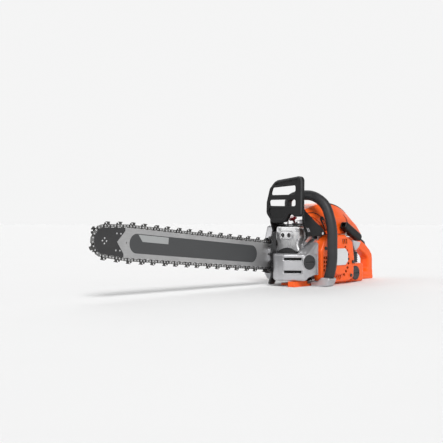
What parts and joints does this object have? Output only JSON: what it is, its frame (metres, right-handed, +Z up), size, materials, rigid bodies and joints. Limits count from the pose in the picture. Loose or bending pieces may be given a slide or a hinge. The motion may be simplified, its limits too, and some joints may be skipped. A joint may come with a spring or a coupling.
{
  "type": "chainsaw",
  "caption": "Petrol chainsaw with guide bar and saw chain, wrap-round front handle, rear loop handle and brake guard.",
  "frame": {"origin": "on the ground under the cylinder's centre-plane, in the flat underside of the chassis tray", "axes": "+X to the rear handle, +Z up, -Y to the starter side; the bar points along -X"},
  "size_m": [1.0653, 0.212, 0.2934],
  "materials": {
    "orange_plastic": "satin moulded",
    "black_plastic": "fine texture",
    "grey_plastic": "fine texture",
    "handle_rubber": "matt",
    "magnesium": "silver-grey paint",
    "aluminium": "cast",
    "bright_steel": "ground",
    "bar_steel": "satin",
    "dark_steel": "black",
    "chain_steel": "oiled",
    "muffler_steel": "heat-tinted",
    "red_plastic": "moulded",
    "felt": "pleated",
    "rope_fibre": "braided",
    "badge_silver": "printed silver",
    "ceramic": "glazed"
  },
  "bodies": {
    "root": {"air_filter": "felt", "badge_plate": "badge_silver", "bar_nose_plates": "dark_steel", "bar_rivets_and_nose_race": "bright_steel", "bar_studs_and_nuts": "bright_steel", "brake_band": "dark_steel", "bumper_spikes": "dark_steel", "carburettor": "aluminium", "case_screws": "bright_steel", "chain_cutters": "chain_steel", "chain_drive_links": "chain_steel", "chain_rivets": "chain_steel", "chain_straps": "chain_steel", "chain_tensioner": "bright_steel", "clutch_cover": "magnesium", "crank_bearings_and_seals": "bright_steel", "crankcase_left": "magnesium", "crankcase_right": "magnesium", "cylinder": "aluminium", "cylinder_cover": "orange_plastic", "front_baffle": "orange_plastic", "front_handle_grip": "handle_rubber", "front_handle_tube": "dark_steel", "guide_bar": "bar_steel", "handle_mounts": "magnesium", "hinge_pins": "bright_steel", "ignition_coil": "black_plastic", "intake_boot": "handle_rubber", "muffler": "muffler_steel", "needle_bearing": "bright_steel", "oil_pump": "grey_plastic", "plug_lead": "black_plastic", "rear_handle_tank": "orange_plastic", "recoil_spring": "bright_steel", "spark_plug": "ceramic", "starter_housing": "orange_plastic", "vibration_springs": "bright_steel"},
    "guard": {"hand_guard": "black_plastic"},
    "trigger": {"throttle_trigger": "black_plastic"},
    "lockout": {"throttle_lockout": "black_plastic"},
    "choke": {"choke_lever": "black_plastic"},
    "valve_button": {"decompression_button": "red_plastic"},
    "oil_filler_cap": {"oil_cap": "grey_plastic"},
    "fuel_filler_cap": {"fuel_cap": "grey_plastic"},
    "latch_left": {"cover_latch_left": "black_plastic"},
    "latch_right": {"cover_latch_right": "black_plastic"},
    "pull_handle": {"starter_handle": "black_plastic"},
    "pulley": {"rope_pulley": "black_plastic", "starter_rope": "rope_fibre"},
    "crank": {"crankshaft": "bright_steel", "flywheel": "aluminium", "clutch_hub": "dark_steel", "clutch_shoes": "dark_steel"},
    "drum": {"clutch_drum": "dark_steel", "rim_sprocket": "dark_steel"},
    "nose_wheel": {"nose_sprocket": "bright_steel"},
    "piston_group": {"piston": "aluminium", "piston_rings": "bright_steel", "wrist_and_crank_pins": "bright_steel", "connecting_rod": "bright_steel"}
  },
  "joints": [
    {"name": "guard_hinge", "type": "hinge", "parent": "root", "child": "guard", "pos_m": [-0.046, 0, 0.141], "axis": [0, -1, 0], "range_deg": [0, 18]},
    {"name": "trigger_hinge", "type": "hinge", "parent": "root", "child": "trigger", "pos_m": [0.188, 0, 0.095], "axis": [0, -1, 0], "range_deg": [0, 9], "stiffness_Nm_per_rad": 0.8, "springref_deg": -11.46},
    {"name": "lockout_hinge", "type": "hinge", "parent": "root", "child": "lockout", "pos_m": [0.221, 0, 0.113], "axis": [0, 1, 0], "range_deg": [0, 6], "stiffness_Nm_per_rad": 0.8, "springref_deg": -11.46},
    {"name": "choke_hinge", "type": "hinge", "parent": "root", "child": "choke", "pos_m": [0.15, -0.032, 0.112], "axis": [0, -1, 0], "range_deg": [-25, 15]},
    {"name": "valve_slide", "type": "slide", "parent": "root", "child": "valve_button", "axis": [0.4502, -0.1, -0.8873], "range_m": [0, 0.005], "stiffness_N_per_m": 600, "springref_m": -0.002},
    {"name": "oil_cap_turn", "type": "hinge", "parent": "root", "child": "oil_filler_cap", "pos_m": [-0.114, -0.073, 0.065], "axis": [-0.27, -0.9629, 0], "range_deg": [0, 90]},
    {"name": "fuel_cap_turn", "type": "hinge", "parent": "root", "child": "fuel_filler_cap", "pos_m": [0.117, -0.061, 0.027], "axis": [0, -1, 0], "range_deg": [0, 90]},
    {"name": "latch_left_hinge", "type": "hinge", "parent": "root", "child": "latch_left", "pos_m": [0, -0.0656, 0.143], "axis": [1, 0, 0], "range_deg": [0, 70]},
    {"name": "latch_right_hinge", "type": "hinge", "parent": "root", "child": "latch_right", "pos_m": [0.06, 0.0532, 0.143], "axis": [-1, 0, 0], "range_deg": [0, 70]},
    {"name": "starter_pull", "type": "slide", "parent": "root", "child": "pull_handle", "axis": [0.1003, -0.1203, 0.9877], "range_m": [0, 0.85], "stiffness_N_per_m": 12, "springref_m": -0.25},
    {"name": "pulley_turn", "type": "hinge", "parent": "root", "child": "pulley", "pos_m": [-0.008, -0.077, 0.0705], "axis": [0, 1, 0], "range_deg": [-1, 1900]},
    {"name": "crank_turn", "type": "hinge", "parent": "root", "child": "crank", "pos_m": [-0.008, 0, 0.0705], "axis": [0, 1, 0], "continuous": true},
    {"name": "drum_turn", "type": "hinge", "parent": "root", "child": "drum", "pos_m": [-0.008, 0, 0.0705], "axis": [0, 1, 0], "continuous": true},
    {"name": "nose_turn", "type": "hinge", "parent": "root", "child": "nose_wheel", "pos_m": [-0.71944, 0.052, 0.13087], "axis": [0, 1, 0], "continuous": true},
    {"name": "piston_stroke", "type": "slide", "parent": "root", "child": "piston_group", "axis": [0, 0, -1], "range_m": [0, 0.036]}
  ],
  "couplings": [
    {"joint": "pulley_turn", "follows": "starter_pull", "rad_per_m": 37.037},
    {"joint": "nose_turn", "follows": "drum_turn", "ratio": 0.63636}
  ]
}
